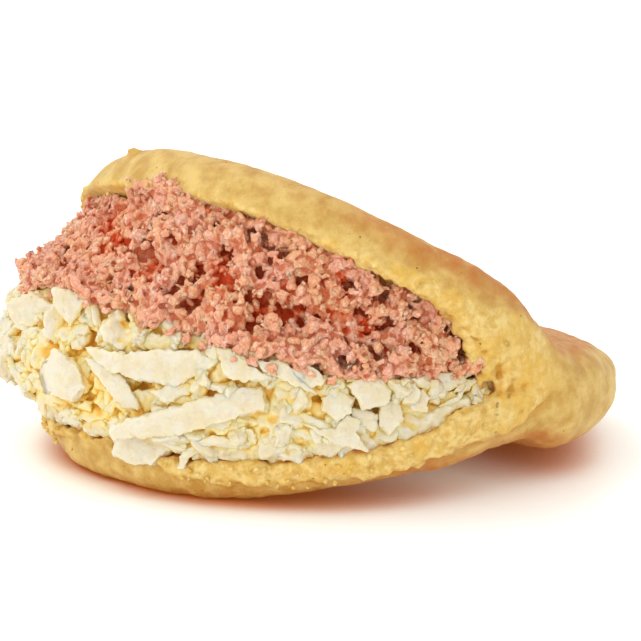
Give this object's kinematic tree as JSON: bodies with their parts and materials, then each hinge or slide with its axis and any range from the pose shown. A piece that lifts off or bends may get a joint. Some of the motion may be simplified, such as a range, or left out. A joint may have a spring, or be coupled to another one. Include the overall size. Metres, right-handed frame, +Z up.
{
  "type": "stuffed corn cake",
  "caption": "Round griddled maize cake, slit and opened like a clam, stuffed with shredded white cheese under a heap of minced ham.",
  "frame": {"origin": "bottom centre of the whole: the point of the table under the middle of its box", "axes": "+Z up; +X from the open mouth towards the uncut end; +Y to the far side of the mouth, where the fillings bulge out most"},
  "size_m": [0.118, 0.1144, 0.0614],
  "materials": {
    "corn_crust": null,
    "white_cheese": null,
    "minced_ham": null
  },
  "bodies": {
    "root": {"corn_cake": "corn_crust", "cheese_filling": "white_cheese", "ham_filling": "minced_ham"}
  },
  "joints": []
}
